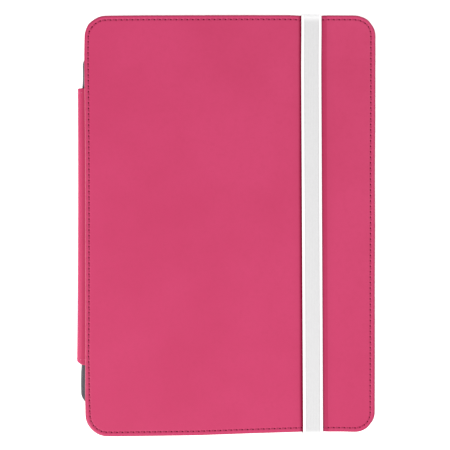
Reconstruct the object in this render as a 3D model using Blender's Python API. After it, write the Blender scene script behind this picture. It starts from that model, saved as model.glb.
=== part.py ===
"""Tablet case: two covers joined by a turning spine, a snap-in tray and an elastic closing strap.

The case lies closed on its back cover. X is across the case with the spine at the left,
Y runs along its length, and Z points out of the front cover. Lengths are written in
millimetres and turned into metres where the meshes are made.
"""
import math

import bmesh
import bpy

MM = 0.001

# Size of the covers, and how far the spine stands out past their left edge.
COVER_WIDTH = 143.0
COVER_LENGTH = 206.0
CORNER_RADIUS = 10.0
SPINE_STAND_OUT = 3.8
COVER_LEFT = -0.5 * (COVER_WIDTH + SPINE_STAND_OUT) + SPINE_STAND_OUT
COVER_RIGHT = COVER_LEFT + COVER_WIDTH
COVER_CENTRE = 0.5 * (COVER_LEFT + COVER_RIGHT)

# One cover panel is a turned-over skin, a stiffening board and a soft lining.
SKIN_THICK = 0.8
BOARD_THICK = 1.3
LINING_THICK = 0.5
GLUE_GAP = 0.2
PANEL_THICK = SKIN_THICK + BOARD_THICK + LINING_THICK + 2.0 * GLUE_GAP
SEAM_INSET = 2.2
SEAM_GROOVE_WIDTH = 0.8
SEAM_GROOVE_DEPTH = 0.35
THREAD_WIDTH = 0.5
THREAD_HEIGHT = 0.25

# The tray is sized for a tablet of 134.7 by 200 by 7.2 mm with rounded corners.
TABLET_WIDTH = 134.7
TABLET_LENGTH = 200.0
TABLET_CLEARANCE = 0.3
TRAY_WALL = 1.5
TRAY_FLOOR = 1.2
TRAY_LIP = 0.8
TRAY_LIP_HEIGHT = 0.8
TRAY_CAVITY = 7.4
TRAY_CORNER = 11.0
TRAY_LEFT = COVER_LEFT + 1.5

# The leather that joins the covers, from the inside of one to the inside of the other.
FLAP_THICK = 0.8
FLAP_REACH = 14.0
FLAP_START = COVER_LEFT - 2.1
SPINE_TOP = 67.6
SPINE_BOTTOM = -68.6
SPINE_SKIN_THICK = 0.7
SPINE_BOARD_THICK = 0.6
SPINE_LINER_THICK = 0.5
LINER_TOP = 82.6
LINER_BOTTOM = -86.4
LINER_CHAMFER = 3.0

# The closing strap.
STRAP_WIDTH = 10.2
STRAP_THICK = 0.9
STRAP_CENTRE = COVER_CENTRE + 40.4
STRAP_TAIL_LENGTH = 20.0
STRAP_SLOT_Z = 1.7
STRAP_GAP = 0.3

# Heights, from the face the case lies on.
BACK_TOP = PANEL_THICK
PAD_LOW = BACK_TOP + GLUE_GAP
PAD_HIGH = PAD_LOW + FLAP_THICK
TRAY_LOW = PAD_HIGH + GLUE_GAP
TRAY_HIGH = TRAY_LOW + TRAY_FLOOR + TRAY_CAVITY + TRAY_LIP_HEIGHT
FRONT_FLAP_LOW = TRAY_HIGH + GLUE_GAP
FRONT_FLAP_HIGH = FRONT_FLAP_LOW + FLAP_THICK
FRONT_LOW = FRONT_FLAP_HIGH + GLUE_GAP
FRONT_TOP = FRONT_LOW + PANEL_THICK
RUN_LOW = FRONT_TOP + GLUE_GAP
RUN_HIGH = RUN_LOW + STRAP_THICK
SPINE_LOW = PAD_HIGH + 0.9
SPINE_HIGH = FRONT_FLAP_LOW - 0.9

# Hinge creases of the leather, both along Y.
CREASE_X = COVER_LEFT - 3.1
REAR_CREASE_Z = 0.5 * (PAD_LOW + PAD_HIGH) + 0.35
FRONT_CREASE_Z = 0.5 * (FRONT_FLAP_LOW + FRONT_FLAP_HIGH) - 0.35

# Holes.
CAMERA_X = COVER_CENTRE + 57.0
CAMERA_Y = 91.0
CAMERA_RADIUS = 7.0
PORT_WIDTH = 32.0
PORT_HEIGHT = 5.6
JACK_X = COVER_CENTRE - 46.0
JACK_WIDTH = 12.0
BUTTON_LOW = 42.0
BUTTON_HIGH = 84.0
MAGNET_RADIUS = 3.0
MAGNET_THICK = 0.9

CORNER_STEPS = 8


def clear_scene():
    for old in list(bpy.data.objects):
        bpy.data.objects.remove(old, do_unlink=True)


def material(name, colour, roughness, metallic=0.0):
    made = bpy.data.materials.new(name)
    made.use_nodes = True
    shader = made.node_tree.nodes["Principled BSDF"]
    shader.inputs["Base Color"].default_value = (colour[0], colour[1], colour[2], 1.0)
    shader.inputs["Roughness"].default_value = roughness
    shader.inputs["Metallic"].default_value = metallic
    made.diffuse_color = (colour[0], colour[1], colour[2], 1.0)
    made.roughness = roughness
    made.metallic = metallic
    return made


def rounded_outline(centre_x, centre_y, width, length, radius, inset):
    """Corner-rounded rectangle, moved inwards by inset, with the same count of points each time."""
    half_w = 0.5 * width
    half_l = 0.5 * length
    turn = max(radius - inset, 0.15)
    reach_w = half_w - inset - turn
    reach_l = half_l - inset - turn
    points = []
    corners = ((1, 1, 0.0), (-1, 1, 90.0), (-1, -1, 180.0), (1, -1, 270.0))
    for sign_x, sign_y, start in corners:
        for step in range(CORNER_STEPS + 1):
            angle = math.radians(start + 90.0 * step / CORNER_STEPS)
            x = centre_x + sign_x * reach_w + turn * math.cos(angle)
            y = centre_y + sign_y * reach_l + turn * math.sin(angle)
            points.append((x, y))
    return points


def finish_object(name, work, shade):
    bmesh.ops.recalc_face_normals(work, faces=work.faces)
    mesh = bpy.data.meshes.new(name)
    work.to_mesh(mesh)
    work.free()
    made = bpy.data.objects.new(name, mesh)
    bpy.context.scene.collection.objects.link(made)
    if shade is not None:
        mesh.materials.append(shade)
    mesh.polygons.foreach_set("use_smooth", [True] * len(mesh.polygons))
    mesh.set_sharp_from_angle(angle=math.radians(32.0))
    return made


def shell_of_rings(name, rings, shade, centre=(0.0, 0.0, 0.0), closed_loop=False):
    """Join rings of (points, z) one after the other. The ends are capped unless they join up."""
    work = bmesh.new()
    loops = []
    for points, height in rings:
        loop = []
        for x, y in points:
            place = ((x - centre[0]) * MM, (y - centre[1]) * MM, (height - centre[2]) * MM)
            loop.append(work.verts.new(place))
        loops.append(loop)
    count = len(loops[0])
    pairs = list(zip(loops[:-1], loops[1:]))
    if closed_loop:
        pairs.append((loops[-1], loops[0]))
    for first, second in pairs:
        for i in range(count):
            j = (i + 1) % count
            work.faces.new((first[i], first[j], second[j], second[i]))
    if not closed_loop:
        work.faces.new(loops[0])
        work.faces.new(list(reversed(loops[-1])))
    made = finish_object(name, work, shade)
    made.location = (centre[0] * MM, centre[1] * MM, centre[2] * MM)
    return made


def prism(name, points, low, high, shade, along="Z", centre=(0.0, 0.0, 0.0)):
    """Outline of (a, b) points pushed along Z, or along X with a as y and b as z."""
    work = bmesh.new()
    ends = []
    for level in (low, high):
        loop = []
        for a, b in points:
            place = (a, b, level)
            if along == "X":
                place = (level, a, b)
            if along == "Y":
                place = (a, level, b)
            shifted = [(place[k] - centre[k]) * MM for k in range(3)]
            loop.append(work.verts.new(shifted))
        ends.append(loop)
    count = len(points)
    for i in range(count):
        j = (i + 1) % count
        work.faces.new((ends[0][i], ends[0][j], ends[1][j], ends[1][i]))
    work.faces.new(ends[0])
    work.faces.new(list(reversed(ends[1])))
    made = finish_object(name, work, shade)
    made.location = (centre[0] * MM, centre[1] * MM, centre[2] * MM)
    return made


def box(name, low, high, shade, centre=(0.0, 0.0, 0.0)):
    outline = ((low[0], low[1]), (high[0], low[1]), (high[0], high[1]), (low[0], high[1]))
    return prism(name, outline, low[2], high[2], shade, "Z", centre)


def circle(x, y, radius, steps=32):
    turn = [2.0 * math.pi * i / steps for i in range(steps)]
    return [(x + radius * math.cos(t), y + radius * math.sin(t)) for t in turn]


def stadium(x, y, width, height, steps=8):
    """Slot with round ends, longer along its first direction."""
    radius = 0.5 * height
    reach = 0.5 * width - radius
    points = []
    for side, start in ((1, -90.0), (-1, 90.0)):
        for step in range(steps + 1):
            angle = math.radians(start + 180.0 * step / steps)
            a = x + side * reach + radius * math.cos(angle)
            points.append((a, y + radius * math.sin(angle)))
    return points


def cut(target, cutter):
    cutter.hide_render = True
    cutter.display_type = "WIRE"
    step = target.modifiers.new("cut_" + cutter.name, "BOOLEAN")
    step.operation = "DIFFERENCE"
    step.solver = "EXACT"
    step.object = cutter


def soften(target, width, segments, angle=40.0):
    step = target.modifiers.new("soften", "BEVEL")
    step.width = width * MM
    step.segments = segments
    step.limit_method = "ANGLE"
    step.angle_limit = math.radians(angle)
    step.harden_normals = False


def cover_outline(inset):
    return rounded_outline(
        COVER_CENTRE, 0.0, COVER_WIDTH, COVER_LENGTH, CORNER_RADIUS, inset
    )


def panel_rings(outer_z, inward):
    """Rings of a turned-over skin. inward is +1 where the inside of the cover is above it."""
    groove_in = SEAM_INSET + 0.5 * SEAM_GROOVE_WIDTH
    groove_out = SEAM_INSET - 0.5 * SEAM_GROOVE_WIDTH
    steps = (
        (groove_in, 0.0),
        (groove_in, SEAM_GROOVE_DEPTH),
        (groove_out, SEAM_GROOVE_DEPTH),
        (groove_out, 0.0),
        (0.9, 0.05),
        (0.45, 0.22),
        (0.14, 0.6),
        (0.0, 1.2),
        (0.0, PANEL_THICK - 0.5),
        (0.15, PANEL_THICK - 0.15),
        (0.4, PANEL_THICK),
        (SKIN_THICK, PANEL_THICK),
        (SKIN_THICK, SKIN_THICK),
    )
    return [(cover_outline(inset), outer_z + inward * depth) for inset, depth in steps]


def cover_panel(side, outer_z, inward, skin_shade, board_shade, lining_shade, thread_shade):
    """Skin, board, lining and seam thread of one cover."""
    skin = shell_of_rings(side + "_skin", panel_rings(outer_z, inward), skin_shade)
    inner = SKIN_THICK + GLUE_GAP
    board_start = outer_z + inward * (SKIN_THICK + GLUE_GAP)
    board_end = board_start + inward * BOARD_THICK
    board_rings = [(cover_outline(inner), board_start), (cover_outline(inner), board_end)]
    board = shell_of_rings(side + "_board", board_rings, board_shade)
    lining_start = board_end + inward * GLUE_GAP
    lining_end = lining_start + inward * LINING_THICK
    lining_rings = [(cover_outline(inner), lining_start), (cover_outline(inner), lining_end)]
    lining = shell_of_rings(side + "_lining", lining_rings, lining_shade)
    near = SEAM_INSET - 0.5 * THREAD_WIDTH
    far = SEAM_INSET + 0.5 * THREAD_WIDTH
    deep = outer_z + inward * (SEAM_GROOVE_DEPTH - 0.1)
    proud = deep - inward * THREAD_HEIGHT
    half = 0.5 * (deep + proud)
    thread_rings = [
        (cover_outline(near + 0.12), deep),
        (cover_outline(near), half),
        (cover_outline(near + 0.12), proud),
        (cover_outline(far - 0.12), proud),
        (cover_outline(far), half),
        (cover_outline(far - 0.12), deep),
    ]
    thread = shell_of_rings(side + "_thread", thread_rings, thread_shade, closed_loop=True)
    return skin, board, lining, thread


def build_covers(shades):
    leather = shades["leather_front"]
    back = cover_panel(
        "back_cover", 0.0, 1.0, shades["leather_back"], shades["board"], shades["lining"],
        shades["thread"]
    )
    front = cover_panel(
        "front_cover", FRONT_TOP, -1.0, leather, shades["board_front"],
        shades["lining_front"], shades["thread_front"]
    )
    return back, front


def tray_outline(inset):
    width = TABLET_WIDTH + 2.0 * (TABLET_CLEARANCE + TRAY_WALL)
    length = TABLET_LENGTH + 2.0 * (TABLET_CLEARANCE + TRAY_WALL)
    centre_x = TRAY_LEFT + 0.5 * width
    return rounded_outline(centre_x, 0.0, width, length, TRAY_CORNER, inset)


def build_tray(shade):
    floor_top = TRAY_LOW + TRAY_FLOOR
    lip_low = TRAY_HIGH - TRAY_LIP_HEIGHT
    rings = [
        (tray_outline(1.0), TRAY_LOW),
        (tray_outline(0.3), TRAY_LOW + 0.3),
        (tray_outline(0.0), TRAY_LOW + 1.0),
        (tray_outline(0.0), TRAY_HIGH - 0.8),
        (tray_outline(0.25), TRAY_HIGH - 0.25),
        (tray_outline(0.8), TRAY_HIGH),
        (tray_outline(TRAY_WALL + 0.4), TRAY_HIGH),
        (tray_outline(TRAY_WALL + TRAY_LIP), TRAY_HIGH - 0.3),
        (tray_outline(TRAY_WALL + TRAY_LIP), lip_low + 0.2),
        (tray_outline(TRAY_WALL), lip_low - 0.4),
        (tray_outline(TRAY_WALL), floor_top + 0.8),
        (tray_outline(TRAY_WALL + 0.8), floor_top),
    ]
    return shell_of_rings("tray", rings, shade)


def camera_cutter(name, low, high, extra):
    points = circle(CAMERA_X, CAMERA_Y, CAMERA_RADIUS + extra)
    return prism(name, points, low, high, None)


def cut_tray(tray):
    tray_right = TRAY_LEFT + TABLET_WIDTH + 2.0 * (TABLET_CLEARANCE + TRAY_WALL)
    tray_end = 0.5 * TABLET_LENGTH + TABLET_CLEARANCE + TRAY_WALL
    middle_z = TRAY_LOW + TRAY_FLOOR + 0.5 * TRAY_CAVITY
    centre_x = 0.5 * (TRAY_LEFT + tray_right)
    cut(tray, camera_cutter("tray_camera_cutter", TRAY_LOW - 1.0, TRAY_LOW + 2.5, 0.0))
    port_points = stadium(centre_x, middle_z, PORT_WIDTH, PORT_HEIGHT)
    port = prism("port_cutter", port_points, -tray_end - 1.0, -tray_end + 3.0, None, "Y")
    cut(tray, port)
    jack_points = stadium(JACK_X, middle_z, JACK_WIDTH, PORT_HEIGHT)
    jack = prism("jack_cutter", jack_points, tray_end - 3.0, tray_end + 1.0, None, "Y")
    cut(tray, jack)
    button_outline = (
        (BUTTON_LOW, TRAY_HIGH + 1.0),
        (BUTTON_LOW, middle_z - 1.0),
        (BUTTON_LOW + 1.6, middle_z - 2.8),
        (BUTTON_HIGH - 1.6, middle_z - 2.8),
        (BUTTON_HIGH, middle_z - 1.0),
        (BUTTON_HIGH, TRAY_HIGH + 1.0),
    )
    button_low = tray_right - 3.0
    button_high = tray_right + 1.0
    button = prism("button_cutter", button_outline, button_low, button_high, None, "X")
    cut(tray, button)


def build_tray_pad(shade):
    low = (FLAP_START + FLAP_REACH + 1.5, -96.0)
    high = (TRAY_LEFT + 130.0, 96.0)
    width = high[0] - low[0]
    length = high[1] - low[1]
    centre_x = 0.5 * (low[0] + high[0])
    rings = [
        (rounded_outline(centre_x, 0.0, width, length, 6.0, 0.0), PAD_LOW),
        (rounded_outline(centre_x, 0.0, width, length, 6.0, 0.0), PAD_HIGH),
    ]
    pad = shell_of_rings("tray_adhesive_pad", rings, shade)
    cut(pad, camera_cutter("pad_camera_cutter", PAD_LOW - 1.0, PAD_HIGH + 1.0, 1.5))
    return pad


def build_flap(name, low, high, shade):
    """One end of the joining leather, glued to the inside of a cover."""
    middle_y = 0.5 * (SPINE_TOP + SPINE_BOTTOM)
    centre = (CREASE_X, middle_y, 0.5 * (low + high))
    points = (
        (FLAP_START, SPINE_BOTTOM),
        (FLAP_START + FLAP_REACH - 2.0, SPINE_BOTTOM),
        (FLAP_START + FLAP_REACH, SPINE_BOTTOM + 2.0),
        (FLAP_START + FLAP_REACH, SPINE_TOP - 2.0),
        (FLAP_START + FLAP_REACH - 2.0, SPINE_TOP),
        (FLAP_START, SPINE_TOP),
    )
    flap = prism(name, points, low, high, shade, "Z", centre)
    soften(flap, 0.15, 2)
    return flap


def build_spine(shades):
    """Skin, board and liner of the spine, with their origins on the rear crease."""
    centre = (CREASE_X, 0.0, REAR_CREASE_Z)
    skin_low = COVER_LEFT - SPINE_STAND_OUT
    skin_high = skin_low + SPINE_SKIN_THICK
    board_low = skin_high + GLUE_GAP
    board_high = board_low + SPINE_BOARD_THICK
    liner_low = board_high + GLUE_GAP
    liner_high = liner_low + SPINE_LINER_THICK
    skin_points = (
        (SPINE_BOTTOM, SPINE_LOW),
        (SPINE_TOP, SPINE_LOW),
        (SPINE_TOP, SPINE_HIGH),
        (SPINE_BOTTOM, SPINE_HIGH),
    )
    skin = prism("spine_skin", skin_points, skin_low, skin_high, shades["spine"], "X", centre)
    soften(skin, 0.25, 3)
    board_points = (
        (SPINE_BOTTOM + 1.5, SPINE_LOW + 0.4),
        (SPINE_TOP - 1.5, SPINE_LOW + 0.4),
        (SPINE_TOP - 1.5, SPINE_HIGH - 0.4),
        (SPINE_BOTTOM + 1.5, SPINE_HIGH - 0.4),
    )
    board_shade = shades["spine_board"]
    board = prism("spine_board", board_points, board_low, board_high, board_shade, "X", centre)
    liner_points = (
        (LINER_BOTTOM + LINER_CHAMFER, SPINE_LOW),
        (LINER_TOP - LINER_CHAMFER, SPINE_LOW),
        (LINER_TOP, SPINE_LOW + LINER_CHAMFER),
        (LINER_TOP, SPINE_HIGH - LINER_CHAMFER),
        (LINER_TOP - LINER_CHAMFER, SPINE_HIGH),
        (LINER_BOTTOM + LINER_CHAMFER, SPINE_HIGH),
        (LINER_BOTTOM, SPINE_HIGH - LINER_CHAMFER),
        (LINER_BOTTOM, SPINE_LOW + LINER_CHAMFER),
    )
    liner_shade = shades["spine_liner"]
    liner = prism("spine_liner", liner_points, liner_low, liner_high, liner_shade, "X", centre)
    return skin, board, liner


def build_magnets(board, shade):
    """Discs in pockets along the free edge of the front cover's board."""
    pocket_low = FRONT_LOW
    pocket_high = FRONT_TOP
    disc_low = FRONT_LOW + LINING_THICK + GLUE_GAP + 0.5 * (BOARD_THICK - MAGNET_THICK)
    disc_high = disc_low + MAGNET_THICK
    across = COVER_RIGHT - 7.5
    for index, y in enumerate((78.0, 26.0, -26.0, -78.0), start=1):
        hole = circle(across, y, MAGNET_RADIUS + 0.3)
        pocket = prism("magnet_cutter_%d" % index, hole, pocket_low, pocket_high, None)
        cut(board, pocket)
        disc = circle(across, y, MAGNET_RADIUS)
        prism("cover_magnet_%d" % index, disc, disc_low, disc_high, shade)


def build_strap(back_skin, back_board, shades):
    """Flat elastic: two ends held in the back cover, two legs up the ends, one run over the front."""
    low_x = STRAP_CENTRE - 0.5 * STRAP_WIDTH
    high_x = STRAP_CENTRE + 0.5 * STRAP_WIDTH
    low_z = STRAP_SLOT_Z - 0.5 * STRAP_THICK
    high_z = STRAP_SLOT_Z + 0.5 * STRAP_THICK
    edge = 0.5 * COVER_LENGTH
    leg_near = edge + STRAP_GAP
    leg_far = leg_near + STRAP_THICK
    axis = (STRAP_CENTRE, 0.0, STRAP_SLOT_Z)
    for side, name in ((1.0, "top"), (-1.0, "bottom")):
        ends = sorted((side * (edge - STRAP_TAIL_LENGTH), side * (edge - 0.1)))
        tail_low = (low_x, ends[0], low_z)
        tail_high = (high_x, ends[1], high_z)
        box("strap_tail_" + name, tail_low, tail_high, shades["tail_" + name])
        slot_ends = sorted((side * (edge - 2.0), side * (edge + 2.0)))
        slot_low = (low_x - 0.3, slot_ends[0], low_z - 0.25)
        slot_high = (high_x + 0.3, slot_ends[1], high_z + 0.25)
        slot = box("strap_slot_cutter_" + name, slot_low, slot_high, None)
        cut(back_skin, slot)
        notch_ends = sorted((side * (edge - STRAP_TAIL_LENGTH - 0.5), side * (edge + 1.0)))
        notch_low = (low_x - 0.4, notch_ends[0], 0.5)
        notch_high = (high_x + 0.4, notch_ends[1], 2.9)
        notch = box("strap_notch_cutter_" + name, notch_low, notch_high, None)
        cut(back_board, notch)
        legs = sorted((side * leg_near, side * leg_far))
        leg_low = (low_x, legs[0], low_z)
        leg_high = (high_x, legs[1], RUN_LOW - 0.3)
        leg = box("strap_leg_" + name, leg_low, leg_high, shades["leg_" + name], axis)
        soften(leg, 0.2, 2)
    run_low = (low_x, -leg_far, RUN_LOW)
    run_high = (high_x, leg_far, RUN_HIGH)
    run = box("strap_front_run", run_low, run_high, shades["run"], axis)
    soften(run, 0.2, 2)
    return run


def main():
    clear_scene()
    pink = (0.62, 0.062, 0.152)
    grey = (0.095, 0.100, 0.110)
    white = (0.80, 0.80, 0.80)
    shades = {
        "leather_front": material("front_leather", pink, 0.55),
        "leather_back": material("back_leather", pink, 0.55),
        "spine": material("spine_leather", pink, 0.5),
        "rear_flap": material("rear_flap_leather", pink, 0.55),
        "front_flap": material("front_flap_leather", pink, 0.55),
        "thread": material("back_thread_polyester", (0.55, 0.06, 0.14), 0.6),
        "thread_front": material("front_thread_polyester", (0.55, 0.06, 0.14), 0.6),
        "board": material("back_grey_board", (0.25, 0.23, 0.2), 0.9),
        "board_front": material("front_grey_board", (0.25, 0.23, 0.2), 0.9),
        "spine_board": material("spine_grey_board", (0.25, 0.23, 0.2), 0.9),
        "lining": material("back_microfibre", (0.13, 0.135, 0.145), 0.95),
        "lining_front": material("front_microfibre", (0.13, 0.135, 0.145), 0.95),
        "spine_liner": material("spine_microfibre", grey, 0.9),
        "tray": material("tray_polycarbonate", (0.07, 0.072, 0.078), 0.35),
        "pad": material("adhesive_foam", (0.05, 0.05, 0.05), 0.85),
        "magnet": material("nickel_plated_magnet", (0.62, 0.61, 0.58), 0.25, 1.0),
        "tail_top": material("elastic_tail_top", white, 0.85),
        "tail_bottom": material("elastic_tail_bottom", white, 0.85),
        "leg_top": material("elastic_leg_top", white, 0.85),
        "leg_bottom": material("elastic_leg_bottom", white, 0.85),
        "run": material("elastic_run", white, 0.85),
    }
    back, front = build_covers(shades)
    for piece in back[:3]:
        extra = 0.0
        cutter = camera_cutter(piece.name + "_camera_cutter", -1.0, BACK_TOP + 1.0, extra)
        cut(piece, cutter)
    build_strap(back[0], back[1], shades)
    tray = build_tray(shades["tray"])
    cut_tray(tray)
    build_tray_pad(shades["pad"])
    build_flap("rear_hinge_flap", PAD_LOW, PAD_HIGH, shades["rear_flap"])
    build_flap("front_hinge_flap", FRONT_FLAP_LOW, FRONT_FLAP_HIGH, shades["front_flap"])
    build_spine(shades)
    build_magnets(front[1], shades["magnet"])


main()
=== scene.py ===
"""Looks of the tablet case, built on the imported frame. Lengths are millimetres until meshes are made."""
import math

import bmesh
import bpy
import numpy as np
from mathutils import Matrix, Vector, geometry, noise


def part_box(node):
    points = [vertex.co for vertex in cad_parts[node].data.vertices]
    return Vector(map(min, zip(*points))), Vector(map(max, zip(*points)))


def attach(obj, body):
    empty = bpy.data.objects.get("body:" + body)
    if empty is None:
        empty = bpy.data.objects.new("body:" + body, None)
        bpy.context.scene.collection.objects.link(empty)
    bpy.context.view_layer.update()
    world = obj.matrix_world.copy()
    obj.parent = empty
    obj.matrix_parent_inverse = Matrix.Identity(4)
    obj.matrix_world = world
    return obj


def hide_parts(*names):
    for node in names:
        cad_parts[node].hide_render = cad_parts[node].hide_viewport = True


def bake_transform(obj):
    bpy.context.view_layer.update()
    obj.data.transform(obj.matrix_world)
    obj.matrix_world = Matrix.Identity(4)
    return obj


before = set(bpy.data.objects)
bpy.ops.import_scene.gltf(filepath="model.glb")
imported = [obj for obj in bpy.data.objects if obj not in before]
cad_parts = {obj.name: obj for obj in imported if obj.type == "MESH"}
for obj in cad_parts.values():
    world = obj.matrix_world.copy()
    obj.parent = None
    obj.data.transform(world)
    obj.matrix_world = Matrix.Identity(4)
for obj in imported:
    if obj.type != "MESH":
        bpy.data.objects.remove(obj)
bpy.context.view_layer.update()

MM = 0.001


def span(node):
    """Lowest and highest corners of a CAD node, in millimetres."""
    low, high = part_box(node)
    return np.array(low) / MM, np.array(high) / MM


FRONT_LOW, FRONT_HIGH = span("front_cover_skin")
BACK_LOW = span("back_cover_skin")[0]
TRAY_LOW, TRAY_HIGH = span("tray")
STRAP_LOW, STRAP_HIGH = span("strap_front_run")
LEG_LOW, LEG_HIGH = span("strap_leg_top")
TAIL_LOW, TAIL_HIGH = span("strap_tail_top")
SPINE_LOW, SPINE_HIGH = span("spine_skin")
LINER_LOW, LINER_HIGH = span("spine_liner")
REAR_FLAP_LOW, REAR_FLAP_HIGH = span("rear_hinge_flap")
FRONT_FLAP_LOW, FRONT_FLAP_HIGH = span("front_hinge_flap")

CENTRE_X = 0.5 * (FRONT_LOW[0] + FRONT_HIGH[0])
HALF_W = 0.5 * (FRONT_HIGH[0] - FRONT_LOW[0])
HALF_L = 0.5 * (FRONT_HIGH[1] - FRONT_LOW[1])
CORNER = 10.0
SEAM_INSET = 2.2
STRAP_X = 0.5 * (STRAP_LOW[0] + STRAP_HIGH[0])
STRAP_HALF = 0.5 * (STRAP_HIGH[0] - STRAP_LOW[0]) - 0.15
STRAP_THICK = STRAP_HIGH[2] - STRAP_LOW[2]
STRAP_LEAN = 0.5

STITCHES_TOP = 46
STITCHES_SIDE = 69
STITCHES_CORNER = 5
PER_STITCH = 8


# ---------------------------------------------------------------- meshes

def mesh_object(name, points, faces, smooth=True, sharp=None):
    mesh = bpy.data.meshes.new(name)
    mesh.from_pydata([tuple(p * MM for p in point) for point in points], [], faces)
    mesh.validate()
    mesh.update()
    made = bpy.data.objects.new(name, mesh)
    bpy.context.scene.collection.objects.link(made)
    mesh.polygons.foreach_set("use_smooth", [smooth] * len(mesh.polygons))
    if sharp is not None:
        mesh.set_sharp_from_angle(angle=math.radians(sharp))
    return made


def paint(made, name, values):
    """Store one number per point for the material to read."""
    layer = made.data.attributes.new(name, "FLOAT", "POINT")
    layer.data.foreach_set("value", np.asarray(values, np.float32))


def face_out(made, weld=None):
    """Turn every face outwards, joining points closer than weld metres first."""
    work = bmesh.new()
    work.from_mesh(made.data)
    if weld is not None:
        bmesh.ops.remove_doubles(work, verts=work.verts, dist=weld)
    bmesh.ops.recalc_face_normals(work, faces=work.faces)
    work.to_mesh(made.data)
    work.free()


def smoothstep(low, high, value):
    t = np.clip((value - low) / (high - low), 0.0, 1.0)
    return t * t * (3.0 - 2.0 * t)


def quarter(steps):
    """Angles of a quarter turn."""
    return [0.5 * math.pi * step / steps for step in range(steps + 1)]


def bridge(last, now):
    """Quads between two closed rings of points."""
    count = len(last)
    return [(last[i], last[(i + 1) % count], now[(i + 1) % count], now[i]) for i in range(count)]


def tube(start, rings, count):
    """Faces of a closed tube: rings of count points each, from point number start, and both end caps."""
    rows = [range(start + ring * count, start + (ring + 1) * count) for ring in range(rings)]
    faces = []
    for last, now in zip(rows[:-1], rows[1:]):
        faces += bridge(last, now)
    return faces + [tuple(reversed(rows[0])), tuple(rows[-1])]


def rim_ring(inset, half_w, half_l, corner, counts, least=0.3):
    """Rounded rectangle round the origin, moved inwards, always with the same number of points."""
    n_top, n_side, n_corner = counts
    turn = max(corner - inset, least)
    reach_x = half_w - inset - turn
    reach_y = half_l - inset - turn
    points = []
    signs = ((1, 1), (-1, 1), (-1, -1), (1, -1))
    for k in range(4):
        sx, sy = signs[k]
        start = math.radians(90.0 * k)
        steps = start + np.arange(n_corner) / n_corner * 0.5 * math.pi
        arc_x = sx * reach_x + turn * np.cos(steps)
        arc_y = sy * reach_y + turn * np.sin(steps)
        points.append(np.stack([arc_x, arc_y], 1))
        end = start + 0.5 * math.pi
        nx, ny = signs[(k + 1) % 4]
        first = np.array([sx * reach_x + turn * math.cos(end), sy * reach_y + turn * math.sin(end)])
        last = np.array([nx * reach_x + turn * math.cos(end), ny * reach_y + turn * math.sin(end)])
        count = n_top if k % 2 == 0 else n_side
        share = (np.arange(count) / count)[:, None]
        points.append(first + (last - first) * share)
    return np.concatenate(points)


COVER_COUNTS = (STITCHES_TOP * PER_STITCH, STITCHES_SIDE * PER_STITCH, STITCHES_CORNER * PER_STITCH)


def cover_ring(inset):
    ring = rim_ring(inset, HALF_W, HALF_L, CORNER, COVER_COUNTS)
    return ring + np.array([CENTRE_X, 0.0])


# The covers are sewn by hand, a little out of square: how far each edge strays, at stations along it.
SIDE_STATIONS = (-103.0, -85.0, -60.0, -30.0, 0.0, 30.0, 60.0, 85.0, 103.0)
LEFT_STRAY = (-0.34, -0.55, -0.25, -0.10, 0.02, 0.13, 0.15, 0.00, 0.34)
RIGHT_STRAY = (0.20, 0.08, 0.10, 0.05, 0.12, 0.06, 0.20, 0.20, 0.05)
END_STATIONS = (-69.6, -56.0, -38.0, -14.0, 11.0, 30.0, 36.0, 42.3, 50.0, 57.0, 62.0, 66.0, 73.4)
LOW_STRAY = (-0.45, -0.60, -0.62, -0.64, -0.06, 0.30, 0.42, 0.60, 0.32, 0.20, -0.06, -0.14, -0.28)
TOP_STRAY = (-0.40, -0.26, -0.02, 0.14, 0.40, 0.48, 0.28, 0.15, 0.44, 0.45, 0.42, 0.14, -0.02)
# How far the two long seams stray from the line at SEAM_INSET.
LEFT_SEAM_STATIONS = (-103.0, -88.0, -72.0, -62.0, -48.0, 0.0)
LEFT_SEAM_STRAY = (0.05, 0.05, -0.30, -0.60, -0.42, -0.30)
RIGHT_SEAM_STRAY = -0.26
# How far each corner bulges outwards, for (left, low), (right, low), (left, top) and (right, top).
CORNER_BULGE = ((-1, -1, -0.30), (1, -1, -0.10), (-1, 1, -0.15), (1, 1, 0.20))


def cover_warp(x, y):
    u = (x - FRONT_LOW[0]) / (2.0 * HALF_W)
    v = (y - FRONT_LOW[1]) / (2.0 * HALF_L)
    dx = (1 - u) * np.interp(y, SIDE_STATIONS, LEFT_STRAY) + u * np.interp(y, SIDE_STATIONS, RIGHT_STRAY)
    dy = (1 - v) * np.interp(x, END_STATIONS, LOW_STRAY) + v * np.interp(x, END_STATIONS, TOP_STRAY)
    for side_x, side_y, bulge in CORNER_BULGE:
        corner_x = CENTRE_X + side_x * (HALF_W - 3.0)
        corner_y = side_y * (HALF_L - 3.0)
        near = np.exp(-((x - corner_x) ** 2 + (y - corner_y) ** 2) / 7.0 ** 2)
        dx = dx + side_x * bulge * near
        dy = dy + side_y * bulge * near
    left_seam = np.interp(y, LEFT_SEAM_STATIONS, LEFT_SEAM_STRAY)
    for seam_x, stray in (
            (FRONT_LOW[0] + SEAM_INSET, left_seam), (FRONT_HIGH[0] - SEAM_INSET, RIGHT_SEAM_STRAY)):
        dx = dx + stray * np.exp(-(((x - seam_x) / 1.2) ** 2))
    return dx, dy


def strap_offset(y):
    """The strap lies a little askew over the cover."""
    return -0.40 + 0.22 * smoothstep(75.0, 100.0, y) - STRAP_LEAN * y / HALF_L


def strap_centre(y, behind=False):
    """Where the strap lies over the front cover, or over the back one once it is turned round behind."""
    return STRAP_X + (-strap_offset(y) if behind else strap_offset(y))


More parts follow.
